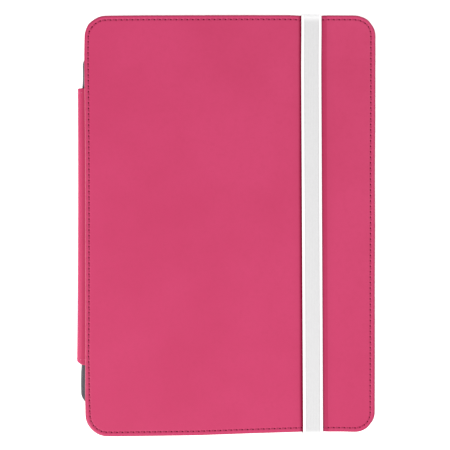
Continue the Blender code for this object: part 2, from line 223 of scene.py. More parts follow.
def strap_dip(x, y, behind=False):
    """How far the strap presses the leather in, with a fine crease at the right of the pressed band."""
    away = x - strap_centre(y, behind)
    if behind:
        return 0.34 * (1.0 - smoothstep(5.0, 7.5, np.abs(away)))
    dip = 0.34 * (1.0 - smoothstep(4.5, 7.0, np.abs(away)))
    dip = dip + 0.20 * np.exp(-(((away + STRAP_HALF + 0.15) / 0.4) ** 2))
    return dip + 0.05 * np.exp(-(((away - 7.45) / 0.2) ** 2))


def painted_strap_shadow(x, y):
    """How dark the painted shadow of the strap is on the leather beside it: a hard line at its left, a
    broad band at its right.
    """
    away = x - strap_centre(y)
    left = np.maximum(-away - STRAP_HALF, 0.0)
    right = np.maximum(away - STRAP_HALF, 0.0)
    hard = 0.88 * np.exp(-((left / 1.35) ** 3)) + 0.12 * np.exp(-((left / 3.4) ** 2))
    broad = 0.20 * (1.0 - smoothstep(2.3, 2.8, right)) + 0.12 * np.exp(-((right / 3.6) ** 2))
    broad = broad * (0.55 + 0.45 * smoothstep(0.1, 0.7, right))
    under = np.maximum(STRAP_HALF - np.abs(away), 0.0)
    return np.where(away < 0.0, 0.85 * hard, broad) * np.exp(-((under / 0.6) ** 2))


def wobble(x, y, size, seed):
    values = [noise.noise(Vector((a / size, b / size, seed))) for a, b in zip(x, y)]
    return np.array(values)


RIM_INSETS = (
    7.5, 6.0, 4.8, 4.0, 3.5, 3.1, 2.85, 2.65, 2.5, 2.35, 2.2, 2.05, 1.9, 1.75, 1.55, 1.3,
    1.0, 0.72, 0.46, 0.24, 0.09, 0.0
)
EDGE_ROUND = 1.0


def rim_height(inset, phase, pitch):
    """Height of the leather below the flat of the cover, near its seam and its rounded edge."""
    height = -0.10 * math.exp(-(((inset - SEAM_INSET) / 0.5) ** 2))
    height += 0.05 * math.exp(-(((inset - 1.3) / 0.45) ** 2))
    if inset < EDGE_ROUND:
        height -= EDGE_ROUND - math.sqrt(max(EDGE_ROUND ** 2 - (EDGE_ROUND - inset) ** 2, 0.0))
    away = np.minimum(phase, 1.0 - phase) * pitch
    across = math.exp(-(((inset - SEAM_INSET) / 0.3) ** 2))
    halfway = np.abs(phase - 0.5) * pitch
    pit = (0.90 * np.exp(-((away / 0.42) ** 2)) + 0.25 * np.exp(-((halfway / 0.42) ** 2))) * across
    pucker = 0.03 * np.cos(2.0 * math.pi * phase) * math.exp(-(((inset - 1.5) / 0.6) ** 2))
    return height - 0.42 * pit - pucker, pit


# Where the leather has rows of points beside the strap's middle, closest where its pressed band and the
# painted shadow beside it end.
STRAP_STATIONS = (
    0, 3.0, 4.0, 4.5, 4.8, 5.1, 5.4, 5.7, 6.0, 6.3, 6.6, 6.9, 7.2, 7.35, 7.5, 7.65, 7.8, 8.1, 8.6,
    10.0, 12.5
)


def cover_skin(name, outer, inward, warped):
    """Turned-over leather skin of one cover, open towards the board, with its sewn rim."""
    total = sum(COVER_COUNTS[:2]) * 2 + 4 * COVER_COUNTS[2]
    phase = (np.arange(total) % PER_STITCH) / PER_STITCH
    thick = FRONT_HIGH[2] - FRONT_LOW[2]
    inner_ring = cover_ring(RIM_INSETS[0])
    across = []
    for offset in STRAP_STATIONS:
        across += [offset, -offset] if offset else [0.0]
    fill = []
    limit_x = HALF_W - RIM_INSETS[0] - 1.0
    limit_y = HALF_L - RIM_INSETS[0] - 1.0
    for y in np.linspace(-limit_y, limit_y, 65):
        for offset in across:
            fill.append((strap_centre(y, not warped) + offset, y))
        for x in np.linspace(CENTRE_X - limit_x, STRAP_X - 16.0, 26):
            fill.append((x, y))
        for x in np.linspace(STRAP_X + 16.0, CENTRE_X + limit_x, 4):
            fill.append((x, y))
    flat = [Vector(p) for p in inner_ring] + [Vector(p) for p in fill]
    loop = [(i, (i + 1) % total) for i in range(total)]
    result = geometry.delaunay_2d_cdt(flat, loop, [], 1, 1e-5)
    co, tris = np.array([tuple(v) for v in result[0]]), result[2]
    # The ring's points keep their places at the front of the list.
    assert np.allclose(co[:total], inner_ring, atol=1e-4)
    x, y = co[:, 0], co[:, 1]
    height = 0.04 * wobble(x, y, 38.0, 3.1)
    height = height - strap_dip(x, y, not warped)
    points = [np.stack([x, y, height], 1)]
    pits = [np.zeros(len(co))]
    edges = [np.zeros(len(co))]
    faces = [tuple(t) for t in tris]
    last = list(range(total))
    made = len(co)
    seam = cover_ring(SEAM_INSET)
    step = np.linalg.norm(np.roll(seam, -PER_STITCH, 0) - seam, axis=1)
    for inset in RIM_INSETS[1:]:
        ring = cover_ring(inset)
        depth, pit = rim_height(inset, phase, step)
        calm = smoothstep(0.0, 4.0, inset)
        depth = depth + 0.04 * wobble(ring[:, 0], ring[:, 1], 38.0, 3.1)
        depth = depth + (1.0 - calm) * 0.05 * wobble(ring[:, 0], ring[:, 1], 7.0, 9.4)
        depth = depth - strap_dip(ring[:, 0], ring[:, 1], not warped)
        depth = np.maximum(depth, np.where(inset > 1.0, -0.72, -9.0))
        points.append(np.stack([ring[:, 0], ring[:, 1], depth], 1))
        pits.append(pit)
        # Painted shade on the rounded edge, where it turns away from the light.
        edges.append(np.full(total, math.exp(-((inset / 0.75) ** 2))))
        now = list(range(made, made + total))
        made += total
        faces += bridge(last, now)
        last = now
    side_steps = (
        (0.0, -1.5), (0.02, -2.1), (0.0, -2.55), (0.12, -2.85), (0.35, -thick),
        (0.6, -thick), (0.8, -thick + 0.12), (0.8, -0.8),
    )
    inner_start = len(side_steps) - 2
    for index, (inset, level) in enumerate(side_steps):
        ring = cover_ring(inset)
        points.append(np.stack([ring[:, 0], ring[:, 1], np.full(total, level)], 1))
        pits.append(np.zeros(total))
        # Painted shade on the cover's sides.
        edges.append(np.full(total, 0.6 if index < inner_start else 0.0))
        now = list(range(made, made + total))
        made += total
        faces += bridge(last, now)
        last = now
    faces.append(tuple(reversed(last)))
    points = np.concatenate(points)
    pits = np.concatenate(pits)
    edges = np.concatenate(edges)
    x, y = points[:, 0].copy(), points[:, 1].copy()
    inner_count = 2 * total
    keep = np.ones(len(points))
    keep[-inner_count:] = 0.0
    if warped:
        dx, dy = cover_warp(x, y)
        points[:, 0] += dx * keep
        points[:, 1] += dy * keep
    sway = 0.08 * wobble(x, y, 30.0, 17.0) * keep * smoothstep(0.0, 1.0, edges * 2.0 + 0.4)
    lean = np.stack([x - CENTRE_X, y], 1)
    lean /= np.maximum(np.linalg.norm(lean, axis=1), 1e-6)[:, None]
    points[:, 0] += lean[:, 0] * sway
    points[:, 1] += lean[:, 1] * sway
    points[:, 2] = outer - inward * points[:, 2]
    if inward > 0:
        faces = [tuple(reversed(f)) for f in faces]
    skin = mesh_object(name, points, faces, sharp=70.0)
    face_out(skin)
    # The needle holes' depth, which the material also reads for painted shade in them.
    paint(skin, "pit", pits)
    paint(skin, "edge", edges)
    inset_now = np.minimum(HALF_W - np.abs(x - CENTRE_X), HALF_L - np.abs(y))
    corner_x = np.abs(x - CENTRE_X) - (HALF_W - CORNER)
    corner_y = np.abs(y) - (HALF_L - CORNER)
    round_off = (corner_x > 0) & (corner_y > 0)
    inset_now = np.where(round_off, CORNER - np.hypot(corner_x, corner_y), inset_now)
    rim = np.exp(-(((inset_now - 1.25) / 0.55) ** 2))
    paint(skin, "rim", rim)
    on_top = points[:, 2] > outer - 1.3
    # Painted shadow of the strap on the front cover's top.
    paint(skin, "strap_shadow", painted_strap_shadow(x, y) * on_top if warped else np.zeros(len(points)))
    # Painted highlight along the cover's left edge, beside the spine.
    painted_highlight = smoothstep(FRONT_LOW[0] + 0.50, FRONT_LOW[0], x) * smoothstep(-88.0, -80.0, y)
    painted_highlight = painted_highlight * smoothstep(80.0, 66.0, y) * (points[:, 2] > outer - 1.6)
    paint(skin, "edge_highlight", painted_highlight if warped else np.zeros(len(points)))
    return skin


STITCH_ROWS = 11
STITCH_SIDES = 8


def stitch_mesh(ends, ups, radius, dive, bulge=0.09):
    """Short curved threads, one from each start to its end, that dive into the leather at both ends."""
    rows, sides = STITCH_ROWS, STITCH_SIDES
    points, faces, twist = [], [], []
    for (start, end), up in zip(ends, ups):
        start, end, up = Vector(start), Vector(end), Vector(up)
        along = end - start
        length = along.length
        along.normalize()
        side = along.cross(up).normalized()
        base = len(points)
        for row in range(rows):
            t = row / (rows - 1)
            swell = math.sin(math.pi * t)
            middle = start.lerp(end, t) + up * (bulge * swell ** 0.5 - dive * (1.0 - swell ** 0.35))
            size = radius * (0.55 + 0.45 * swell ** 0.5)
            for k in range(sides):
                angle = 2.0 * math.pi * k / sides
                around = side * math.cos(angle) * size * 1.15 + up * math.sin(angle) * size * 0.85
                points.append(middle + around)
                twist.append(t * length * 2.2 + k / sides)
        faces += tube(base, rows, sides)
    return points, faces, twist


def cover_seam(name, outer, inward, warped):
    ring = cover_ring(SEAM_INSET)
    outward = cover_ring(SEAM_INSET - 1.0) - ring
    total = len(ring)
    x, y = ring[:, 0], ring[:, 1]
    height = 0.04 * wobble(x, y, 38.0, 3.1) - 0.10
    height = height - strap_dip(x, y, not warped)
    if warped:
        ring = ring + np.stack(cover_warp(x, y), 1)
    up = (0.0, 0.0, -inward)
    ends, ups = [], []
    for first in range(0, total, PER_STITCH):
        second = (first + PER_STITCH) % total
        slant = 0.24
        a = ring[first] + outward[first] * slant
        b = ring[second] - outward[second] * slant
        a, b = a + (b - a) * 0.15, b + (a - b) * 0.15
        start = (a[0], a[1], outer - inward * height[first])
        end = (b[0], b[1], outer - inward * height[second])
        ends.append((start, end))
        ups.append(up)
    points, faces, twist = stitch_mesh(ends, ups, 0.22, 0.36)
    seam = mesh_object(name, points, faces)
    face_out(seam)
    paint(seam, "twist", twist)
    # Each stitch has painted shade at its middle, darkest over the fainter hole there.
    stitch_shade = np.exp(-(((np.arange(STITCH_ROWS) / (STITCH_ROWS - 1) - 0.5) / 0.16) ** 2))
    paint(seam, "stitch_shade", np.tile(np.repeat(stitch_shade, STITCH_SIDES), len(ends)))
    return seam


def stacked(name, rings, half_w, half_l, corner, centre, counts, sharp):
    """Closed shell through rounded rectangles, from (inset, height) rings."""
    points, faces, last = [], [], None
    for inset, level in rings:
        ring = rim_ring(inset, half_w, half_l, corner, counts) + np.array(centre)
        now = list(range(len(points), len(points) + len(ring)))
        points += [(p[0], p[1], level) for p in ring]
        faces += [tuple(now)] if last is None else bridge(last, now)
        last = now
    faces.append(tuple(reversed(last)))
    made = mesh_object(name, points, faces, sharp=sharp)
    face_out(made)
    return made


def slab(name, low, high, half_w, half_l, corner, centre, counts, soft, insets=(6.0, 2.5)):
    """Thin plate with softly rounded edges."""
    rings = [(inset, high) for inset in insets]
    for angle in quarter(4):
        rings.append((soft * (1.0 - math.sin(angle)), high - soft * (1.0 - math.cos(angle))))
    for angle in quarter(4):
        rings.append((soft * (1.0 - math.cos(angle)), low + soft * (1.0 - math.sin(angle))))
    rings += [(inset, low) for inset in reversed(insets)]
    return stacked(name, rings, half_w, half_l, corner, centre, counts, 60.0)


def path_of(corners, turns, step=0.35):
    """Points along a path of straight runs with rounded corners, with their left-hand normals."""
    corners = [Vector(c) for c in corners]
    points = [corners[0]]
    for i in range(1, len(corners) - 1):
        before = (corners[i - 1] - corners[i]).normalized()
        after = (corners[i + 1] - corners[i]).normalized()
        half = 0.5 * before.angle(after)
        reach = turns[i - 1] / math.tan(half)
        centre = corners[i] + (before + after).normalized() * (turns[i - 1] / math.sin(half))
        first = corners[i] + before * reach
        last = corners[i] + after * reach
        a = first - centre
        b = last - centre
        sweep = a.angle(b)
        count = max(6, int(sweep * turns[i - 1] / step) + 1)
        for k in range(count + 1):
            t = k / count
            share_a = math.sin((1 - t) * sweep) / math.sin(sweep)
            share_b = math.sin(t * sweep) / math.sin(sweep)
            points.append(centre + (a * share_a + b * share_b))
    points.append(corners[-1])
    dense = [points[0]]
    for a, b in zip(points[:-1], points[1:]):
        count = max(1, int((b - a).length / step))
        for k in range(1, count + 1):
            dense.append(a.lerp(b, k / count))
    normals = []
    for i in range(len(dense)):
        a = dense[max(i - 1, 0)]
        b = dense[min(i + 1, len(dense) - 1)]
        t = (b - a).normalized()
        normals.append(Vector((-t.y, t.x)))
    return dense, normals


def arc_lengths(path):
    """Distance along the path at each of its points."""
    arc = [0.0]
    for a, b in zip(path[:-1], path[1:]):
        arc.append(arc[-1] + (b - a).length)
    return arc


def curved_strip(name, path, normals, low_of, high_of, thick_of, soft, round_start, round_end, shift):
    """Leather or cloth strip with rounded edges: a path in X and Z, run along Y."""
    count = len(path)
    arc = arc_lengths(path)
    near = (0.0, 0.06, 0.2, 0.4, 0.7, 1.2, 2.0)
    ys = list(near) + list(np.arange(3.5, 500.0, 2.5))
    length = high_of(0.5 * arc[-1]) - low_of(0.5 * arc[-1])
    ys = [v for v in ys if v < 0.5 * length]
    ys = ys + [length - v for v in reversed(ys)]
    cols = len(ys)

    def swell(distance):
        if distance >= soft:
            return 1.0
        return math.sqrt(max(1.0 - (1.0 - distance / soft) ** 2, 0.0))

    sheets = []
    points = []
    for side in (1.0, -1.0):
        rows = []
        for i in range(count):
            s = arc[i]
            low, high = low_of(s), high_of(s)
            row = []
            for v in ys:
                y = low + (high - low) * v / length
                gap = min(v, length - v)
                if round_start:
                    gap = min(gap, s)
                if round_end:
                    gap = min(gap, arc[-1] - s)
                reach = side * 0.5 * thick_of(s) * swell(gap)
                dx, dz = shift(y, s)
                x = path[i].x + normals[i].x * reach + dx
                z = path[i].y + normals[i].y * reach + dz
                row.append(len(points))
                points.append((x, y, z))
            rows.append(row)
        sheets.append(rows)
    faces = []
    for number, rows in enumerate(sheets):
        for i in range(count - 1):
            for j in range(cols - 1):
                quad = (rows[i][j], rows[i][j + 1], rows[i + 1][j + 1], rows[i + 1][j])
                faces.append(quad if number == 0 else tuple(reversed(quad)))
    rim = [(i, 0) for i in range(count)] + [(count - 1, j) for j in range(1, cols)]
    rim += [(i, cols - 1) for i in reversed(range(count - 1))]
    rim += [(0, j) for j in reversed(range(1, cols - 1))]
    for (i, j), (k, m) in zip(rim, rim[1:] + rim[:1]):
        faces.append((sheets[0][i][j], sheets[0][k][m], sheets[1][k][m], sheets[1][i][j]))
    made = mesh_object(name, points, faces, sharp=60.0)
    face_out(made, weld=0.00001)
    return made


def strap_profile():
    """Outline of the flat elastic's section: thick selvages, a groove inside each, fine ribs between."""
    half_t = 0.5 * STRAP_THICK
    xs = np.concatenate([np.linspace(-STRAP_HALF, -STRAP_HALF + 0.4, 6)[:-1],
                         np.linspace(-STRAP_HALF + 0.4, STRAP_HALF - 0.4, 66),
                         np.linspace(STRAP_HALF - 0.4, STRAP_HALF, 6)[1:]])
    away = STRAP_HALF - np.abs(xs)
    edge = np.sqrt(np.clip(1.0 - (1.0 - np.minimum(away / 0.42, 1.0)) ** 2, 0.0, 1.0))
    groove = 0.16 * np.exp(-(((away - 1.52) / 0.2) ** 2))
    ribs = np.where(away > 2.0, 0.035 * (0.5 - 0.5 * np.cos(2.0 * math.pi * xs / 0.78)), 0.0)
    flat = np.where(away > 1.9, 0.05, 0.0)
    half = (half_t - groove - ribs - flat) * np.maximum(edge, 0.0)
    top = [(x, h) for x, h in zip(xs, half)]
    low = [(x, -h * 0.97) for x, h in zip(xs[1:-1][::-1], half[1:-1][::-1])]
    section = np.array(top + low)
    mark = np.exp(-(((STRAP_HALF - np.abs(section[:, 0]) - 1.52) / 0.3) ** 2))
    selvage = smoothstep(1.6, 1.15, STRAP_HALF - np.abs(section[:, 0]))
    return section, mark, selvage


def strap_sweep(name, line, normals, shift_of):
    """Run the strap's section along a path in Y and Z."""
    section, mark, selvage = strap_profile()
    points, marks, edges, painted_bend_light = [], [], [], []
    for place, normal in zip(line, normals):
        shift = shift_of(place.x, place.y)
        for (x, h), m, s in zip(section, mark, selvage):
            points.append((STRAP_X + shift + x, place.x + normal.x * h, place.y + normal.y * h))
            marks.append(m)
            edges.append(s)
            # Painted highlight where the strap turns round its bends at the ends.
            turned = smoothstep(HALF_L - (3.5 if place.x > 0 else 1.5), HALF_L + 1.0, abs(place.x))
            painted_bend_light.append(float(turned * (0.35 + 0.65 * smoothstep(RUN_Z - 5.0, RUN_Z - 1.2, place.y))))
    made = mesh_object(name, points, tube(0, len(line), len(section)), sharp=75.0)
    face_out(made)
    paint(made, "groove", marks)
    paint(made, "selvage", edges)
    paint(made, "bend", painted_bend_light)
    return made


def cut_away(made, cutters):
    """Cut with exact booleans and keep the result in the mesh."""
    for cutter in cutters:
        step = made.modifiers.new("cut", "BOOLEAN")
        step.operation = "DIFFERENCE"
        step.solver = "EXACT"
        step.object = cutter
    bpy.context.view_layer.update()
    graph = bpy.context.evaluated_depsgraph_get()
    result = bpy.data.meshes.new_from_object(made.evaluated_get(graph), depsgraph=graph)
    made.modifiers.clear()
    old = made.data
    made.data = result
    bpy.data.meshes.remove(old)
    for cutter in cutters:
        bpy.data.objects.remove(cutter)
    return made


def box_cutter(name, low, high):
    corners = [(x, y, z) for x in (low[0], high[0]) for y in (low[1], high[1]) for z in (low[2], high[2])]
    quads = [(0, 1, 3, 2), (4, 6, 7, 5), (0, 4, 5, 1), (2, 3, 7, 6), (0, 2, 6, 4), (1, 5, 7, 3)]
    made = mesh_object(name, corners, quads, smooth=False)
    face_out(made)
    return made


def turned_cutter(name, x, y, steps, sides=64):
    """Cutter turned about an upright line, from (radius, height) steps."""
    points = []
    for radius, level in steps:
        for k in range(sides):
            angle = 2.0 * math.pi * k / sides
            points.append((x + radius * math.cos(angle), y + radius * math.sin(angle), level))
    made = mesh_object(name, points, tube(0, len(steps), sides))
    face_out(made)
    return made


# ---------------------------------------------------------------- materials

class Shade:
    """A Principled material with short calls for the nodes it is made of."""

    def __init__(self, name, roughness=0.5, specular=0.5, metallic=0.0):
        self.made = bpy.data.materials.new(name)
        self.made.use_nodes = True
        self.tree = self.made.node_tree
        self.main = self.tree.nodes["Principled BSDF"]
        self.main.inputs["Roughness"].default_value = roughness
        self.main.inputs["Specular IOR Level"].default_value = specular
        self.main.inputs["Metallic"].default_value = metallic
        self.place = self.tree.nodes.new("ShaderNodeTexCoord").outputs["Object"]

    def node(self, kind, **values):
        made = self.tree.nodes.new(kind)
        for key, value in values.items():
            setattr(made, key, value)
        return made

    def link(self, source, target):
        self.tree.links.new(source, target)

    def scaled(self, x, y, z, turn=0.0):
        mapping = self.node("ShaderNodeMapping")
        mapping.inputs["Scale"].default_value = (x, y, z)
        mapping.inputs["Rotation"].default_value = (0.0, 0.0, turn)
        self.link(self.place, mapping.inputs["Vector"])
        return mapping.outputs["Vector"]

    def noise(self, scale, detail=3.0, rough=0.5, place=None):
        made = self.node("ShaderNodeTexNoise")
        made.inputs["Scale"].default_value = scale
        made.inputs["Detail"].default_value = detail
        made.inputs["Roughness"].default_value = rough
        self.link(place or self.place, made.inputs["Vector"])
        return made.outputs["Fac"]

    def cells(self, scale, feature="F1", place=None):
        made = self.node("ShaderNodeTexVoronoi", feature=feature)
        made.inputs["Scale"].default_value = scale
        self.link(place or self.place, made.inputs["Vector"])
        return made.outputs["Distance"]

    def wave(self, scale, direction="X", place=None, distortion=0.0):
        made = self.node("ShaderNodeTexWave", bands_direction=direction)
        made.inputs["Scale"].default_value = scale
        made.inputs["Distortion"].default_value = distortion
        self.link(place or self.place, made.inputs["Vector"])
        return made.outputs["Fac"]

    def stored(self, name):
        return self.node("ShaderNodeAttribute", attribute_name=name).outputs["Fac"]

    def maths(self, operation, a, b=None, clamp=False):
        made = self.node("ShaderNodeMath", operation=operation, use_clamp=clamp)
        for index, value in enumerate((a, b)):
            if value is None:
                continue
            if isinstance(value, (int, float)):
                made.inputs[index].default_value = value
            else:
                self.link(value, made.inputs[index])
        return made.outputs[0]

    def ramp(self, fac, low, high):
        made = self.node("ShaderNodeMapRange")
        made.inputs["From Min"].default_value = low[0]
        made.inputs["From Max"].default_value = high[0]
        made.inputs["To Min"].default_value = low[1]
        made.inputs["To Max"].default_value = high[1]
        self.link(fac, made.inputs["Value"])
        return made.outputs["Result"]

    def mix(self, fac, a, b, kind="MIX"):
        made = self.node("ShaderNodeMix", data_type="RGBA", blend_type=kind)
        colour_inputs = [s for s in made.inputs if s.type == "RGBA"]
        if isinstance(fac, (int, float)):
            made.inputs[0].default_value = fac
        else:
            self.link(fac, made.inputs[0])
        for socket, value in zip(colour_inputs, (a, b)):
            if isinstance(value, tuple):
                socket.default_value = (value[0], value[1], value[2], 1.0)
            else:
                self.link(value, socket)
        return [s for s in made.outputs if s.type == "RGBA"][0]

    def stain(self, colour, name, share, tint):
        """Mix a share of tint into colour where the stored value is high."""
        return self.mix(self.maths("MULTIPLY", self.stored(name), share), colour, tint)

    def bump(self, layers):
        """Layers of (height, strength, distance in metres), one on the other."""
        normal = None
        for height, strength, distance in layers:
            made = self.node("ShaderNodeBump")
            made.inputs["Strength"].default_value = strength
            made.inputs["Distance"].default_value = distance
            self.link(height, made.inputs["Height"])
            if normal is not None:
                self.link(normal, made.inputs["Normal"])
            normal = made.outputs["Normal"]
        self.link(normal, self.main.inputs["Normal"])

    def colour(self, source):
        self.link(source, self.main.inputs["Base Color"])

    def rough(self, source):
        self.link(source, self.main.inputs["Roughness"])


PINK = (0.480, 0.030, 0.106)
PINK_PALE = (0.525, 0.039, 0.128)
PINK_DEEP = (0.420, 0.021, 0.082)
PINK_EDGE_SHADE = (0.340, 0.008, 0.055)
PINK_HOLE_SHADE = (0.090, 0.001, 0.012)
PINK_STRAP_SHADOW = (0.200, 0.002, 0.022)
PINK_HIGHLIGHT = (0.640, 0.170, 0.235)


def leather(name, sewn=True):
    shade = Shade(name, 0.48, 0.35)
    broad = shade.noise(28.0, 2.0)
    fine = shade.noise(420.0, 4.0, 0.6)
    colour = shade.mix(shade.ramp(broad, (0.35, 0.0), (0.65, 0.55)), PINK, PINK_PALE)
    colour = shade.mix(shade.ramp(fine, (0.45, 0.0), (0.75, 0.22)), colour, PINK_DEEP)
    grain = shade.cells(1700.0, "DISTANCE_TO_EDGE")
    crease = shade.ramp(grain, (0.0, 0.0), (0.12, 1.0))
    between = shade.ramp(grain, (0.0, 0.10), (0.1, 0.0))
    colour = shade.mix(between, colour, PINK_DEEP)
    if sewn:
        colour = shade.stain(colour, "rim", 0.55, PINK_PALE)
        # Painted shade on the rounded edge and the sides.
        colour = shade.stain(colour, "edge", 0.85, PINK_EDGE_SHADE)
        # Painted highlight on the cover's left edge.
        colour = shade.stain(colour, "edge_highlight", 0.7, PINK_HIGHLIGHT)
        # Painted shadow beside the strap; the pits and this shadow also get less specular.
        colour = shade.mix(shade.stored("strap_shadow"), colour, PINK_STRAP_SHADOW)
        # Painted shade in the needle holes.
        colour = shade.mix(shade.ramp(shade.stored("pit"), (0.16, 0.0), (0.50, 1.0)), colour, PINK_HOLE_SHADE)
        dull = shade.maths("MAXIMUM", shade.stored("pit"), shade.stored("strap_shadow"))
        shade.link(shade.ramp(dull, (0.1, 0.35), (0.7, 0.02)), shade.main.inputs["Specular IOR Level"])
    shade.colour(colour)
    shade.rough(shade.ramp(fine, (0.3, 0.43), (0.7, 0.56)))
    shade.bump([(crease, 0.20, 0.00004), (fine, 0.25, 0.00006)])
    return shade.made


def thread(name, pale, deep):
    shade = Shade(name, 0.55, 0.3)
    twist = shade.stored("twist")
    wave = shade.maths("SINE", shade.maths("MULTIPLY", twist, 6.2832))
    colour = shade.mix(shade.ramp(wave, (-1.0, 0.0), (1.0, 1.0)), deep, pale)
    # Painted shade at the middle of each stitch.
    colour = shade.stain(colour, "stitch_shade", 0.45, PINK_HOLE_SHADE)
    shade.colour(colour)
    fuzz = shade.noise(3000.0, 3.0)
    shade.bump([(wave, 0.5, 0.00005), (fuzz, 0.3, 0.00003)])
    return shade.made


def elastic(name):
    shade = Shade(name, 0.75, 0.25)
    ribs = shade.wave(640.0, "X")
    weft = shade.wave(750.0, "Y")
    cross = shade.maths("MULTIPLY", ribs, weft)
    fibre = shade.noise(1600.0, 4.0, 0.6)
    colour = shade.mix(shade.ramp(cross, (0.0, 0.0), (1.0, 1.0)), (0.60, 0.595, 0.60), (0.725, 0.72, 0.72))
    colour = shade.mix(shade.ramp(fibre, (0.35, 0.3), (0.7, 0.0)), colour, (0.54, 0.535, 0.54))
    colour = shade.stain(colour, "selvage", 0.95, (0.96, 0.96, 0.96))
    colour = shade.stain(colour, "groove", 0.85, (0.56, 0.545, 0.55))
    # Painted highlight on the strap's bends.
    colour = shade.stain(colour, "bend", 0.85, (0.97, 0.97, 0.97))
    shade.colour(colour)
    shade.bump([(cross, 0.35, 0.00010), (fibre, 0.25, 0.00006)])
    return shade.made


def microfibre(name, pale=(0.098, 0.098, 0.108), deep=(0.044, 0.044, 0.051)):
    shade = Shade(name, 0.92, 0.2)
    shade.main.inputs["Sheen Weight"].default_value = 0.25
    shade.main.inputs["Sheen Roughness"].default_value = 0.5
    nap = shade.noise(900.0, 5.0, 0.7)
    stroke = shade.noise(35.0, 3.0, 0.5, shade.scaled(1.0, 0.35, 1.0))
    hair = shade.noise(2600.0, 3.0, 0.6, shade.scaled(1.0, 0.25, 1.0, 0.4))
    colour = shade.mix(shade.ramp(nap, (0.3, 0.0), (0.7, 1.0)), deep, pale)
    colour = shade.mix(shade.ramp(stroke, (0.35, 0.0), (0.65, 0.35)), colour, pale)
    shade.colour(colour)
    shade.bump([(nap, 0.4, 0.00012), (hair, 0.35, 0.00008)])
    return shade.made


def moulded(name, base=(0.066, 0.068, 0.074), pale=(0.073, 0.075, 0.081)):
    shade = Shade(name, 0.42, 0.5)
    texture = shade.noise(2200.0, 4.0, 0.6)
    patch = shade.noise(60.0, 2.0)
    shade.colour(shade.mix(shade.ramp(patch, (0.35, 0.0), (0.65, 1.0)), base, pale))
    shade.rough(shade.ramp(patch, (0.3, 0.36), (0.7, 0.48)))
    shade.bump([(texture, 0.3, 0.00004)])
    return shade.made


def greyboard(name):
    shade = Shade(name, 0.9, 0.2)
    pulp = shade.noise(500.0, 6.0, 0.7)
    flecks = shade.cells(700.0)
    colour = shade.mix(shade.ramp(pulp, (0.3, 0.0), (0.7, 1.0)), (0.20, 0.185, 0.16), (0.34, 0.32, 0.285))
    colour = shade.mix(shade.ramp(flecks, (0.0, 0.5), (0.12, 0.0)), colour, (0.10, 0.09, 0.08))
    shade.colour(colour)
    shade.bump([(pulp, 0.4, 0.0001)])
    return shade.made


def foam(name):
    shade = Shade(name, 0.9, 0.2)
    bubbles = shade.cells(1600.0)
    walls = shade.ramp(bubbles, (0.1, 1.0), (0.6, 0.0))
    colour = shade.mix(walls, (0.035, 0.035, 0.036), (0.075, 0.075, 0.078))
    shade.colour(colour)
    shade.bump([(bubbles, 0.5, 0.0001)])
    return shade.made


def plated(name):
    shade = Shade(name, 0.25, 0.5, 1.0)
    smear = shade.noise(300.0, 4.0, 0.5)
    shade.colour(shade.mix(smear, (0.60, 0.59, 0.56), (0.72, 0.71, 0.68)))
    shade.rough(shade.ramp(smear, (0.3, 0.18), (0.7, 0.36)))
    shade.bump([(shade.noise(1800.0, 3.0), 0.08, 0.00004)])
    return shade.made


def dress(made, shade):
    made.data.materials.clear()
    made.data.materials.append(shade)
    return made


# ---------------------------------------------------------------- the covers

CAMERA_X = CENTRE_X + 57.0
CAMERA_Y = 91.0
CAMERA_RADIUS = 7.0

LEATHER = leather("grained_leather")
LEATHER_PLAIN = leather("grained_leather_strip", sewn=False)
THREAD = thread("twisted_thread", (0.530, 0.040, 0.140), (0.400, 0.018, 0.085))
# A lighter copy of the same thread for the spine's stitches: painted highlight.
THREAD_HIGHLIT = thread("twisted_thread_highlit", (0.680, 0.170, 0.290), (0.470, 0.050, 0.130))
FIBRE = microfibre("grey_microfibre")
ELASTIC = elastic("woven_elastic")


def back_cutters():
    """The camera's hole and the two slots that the strap comes out of."""
    yield turned_cutter(
        "camera_cutter", CAMERA_X, CAMERA_Y,
        ((CAMERA_RADIUS + 0.9, -1.0), (CAMERA_RADIUS + 0.55, -0.02), (CAMERA_RADIUS + 0.2, 0.1),
         (CAMERA_RADIUS + 0.04, 0.3), (CAMERA_RADIUS, 0.5), (CAMERA_RADIUS, 1.5)))
    for side in (1.0, -1.0):
        ends = sorted((side * (HALF_L - 2.0), side * (HALF_L + 2.0)))
        yield box_cutter(
            "slot_cutter", (STRAP_X - STRAP_HALF - 0.3, ends[0], TAIL_LOW[2] - 0.25),
            (STRAP_X + STRAP_HALF + 0.3, ends[1], TAIL_HIGH[2] + 0.25))


# each cover: its name, its body, the level of its outer face and the way inwards
COVERS = (("front", "front_cover", FRONT_HIGH[2], -1.0), ("back", "back", BACK_LOW[2], 1.0))
for side, body, outer, inward in COVERS:
    skin = cover_skin(side + "_leather_skin", outer, inward, side == "front")
    if side == "back":
        cut_away(skin, list(back_cutters()))
    dress(skin, LEATHER)
    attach(skin, body)
    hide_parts(side + "_cover_skin")

for side, body, outer, inward in COVERS:
    seam = cover_seam(side + "_seam_stitches", outer, inward, side == "front")
    dress(seam, THREAD)
    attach(seam, body)
    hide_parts(side + "_cover_thread")

LINING_COUNTS = (40, 60, 14)
for side, body, _, _ in COVERS:
    lining_low, lining_high = span(side + "_cover_lining")
    lining = slab(
        side + "_microfibre_lining", lining_low[2], lining_high[2], HALF_W - 1.0, HALF_L - 1.0,
        CORNER - 1.0, (CENTRE_X, 0.0), LINING_COUNTS, 0.24)
    if side == "back":
        cut_away(lining, [turned_cutter(
            "lining_cutter", CAMERA_X, CAMERA_Y, ((CAMERA_RADIUS, 0.0), (CAMERA_RADIUS, 5.0)))])
    dress(lining, FIBRE)
    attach(lining, body)
    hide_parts(side + "_cover_lining")


# ---------------------------------------------------------------- the spine

